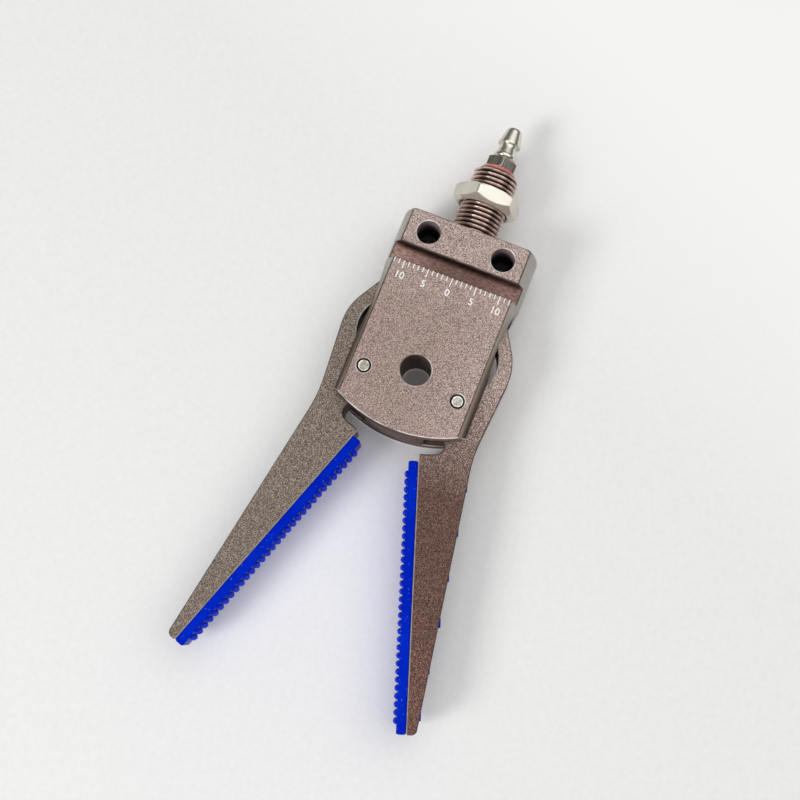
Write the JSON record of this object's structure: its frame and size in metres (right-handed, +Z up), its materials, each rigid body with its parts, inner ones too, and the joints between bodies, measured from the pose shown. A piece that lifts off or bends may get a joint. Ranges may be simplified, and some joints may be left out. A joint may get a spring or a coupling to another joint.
{
  "type": "pneumatic mini gripper",
  "caption": "Small air-driven angular gripper: flattened round body on a threaded shank with lock nut and hose barb, and two hooked fingers with ribbed rubber pads that swing together.",
  "frame": {"origin": "on the shank axis, in the plane of the body's top shoulder where the shank seats", "axes": "+Z up along the shank to the hose barb, X across the two fingers, -Y the front face with the two tapped holes and the scale"},
  "size_m": [0.0534, 0.015, 0.1265],
  "materials": {
    "body_anodised": "bead-blasted and anodised, brownish grey, satin",
    "finger_anodised": "bead-blasted and anodised, dark brownish grey, satin",
    "thread_anodised": "turned and anodised, dark copper",
    "nickel": "bright nickel plating",
    "steel": "ground steel",
    "bronze": "sintered bronze",
    "washer_red": "red sealing ring",
    "pad_blue": "vivid blue moulded rubber",
    "seal_black": "black rubber"
  },
  "bodies": {
    "housing": {"body_block": "body_anodised", "threaded_shank": "thread_anodised", "lock_nut": "nickel", "sealing_washer": "washer_red", "barb_fitting": "nickel", "rod_guide_bush": "bronze", "right_pivot_pin": "steel", "left_pivot_pin": "steel", "piston_return_spring": "steel", "opening_spring": "steel"},
    "left_jaw": {"left_finger": "finger_anodised", "left_pivot_bush": "bronze", "left_pad": "pad_blue"},
    "right_jaw": {"right_finger": "finger_anodised", "right_pivot_bush": "bronze", "right_pad": "pad_blue"},
    "piston_set": {"piston": "bronze", "piston_seal": "seal_black", "piston_rod": "steel", "spreader_wedge": "steel", "wedge_pin": "steel"}
  },
  "joints": [
    {"name": "left_jaw_hinge", "type": "hinge", "parent": "housing", "child": "left_jaw", "pos_m": [-0.0102, 0, -0.0349], "axis": [0, -1, 0], "range_deg": [0, 19], "stiffness_Nm_per_rad": 0.02, "springref_deg": -20.05, "deforming": ["opening_spring"]},
    {"name": "right_jaw_hinge", "type": "hinge", "parent": "housing", "child": "right_jaw", "pos_m": [0.0102, 0, -0.0349], "axis": [0, 1, 0], "range_deg": [0, 19]},
    {"name": "piston_slide", "type": "slide", "parent": "housing", "child": "piston_set", "axis": [0, 0, -1], "range_m": [0, 0.005], "deforming": ["piston_return_spring"]}
  ],
  "couplings": [
    {"joint": "right_jaw_hinge", "follows": "left_jaw_hinge", "ratio": 1},
    {"joint": "piston_slide", "follows": "left_jaw_hinge", "m_per_rad": 0.015077}
  ]
}
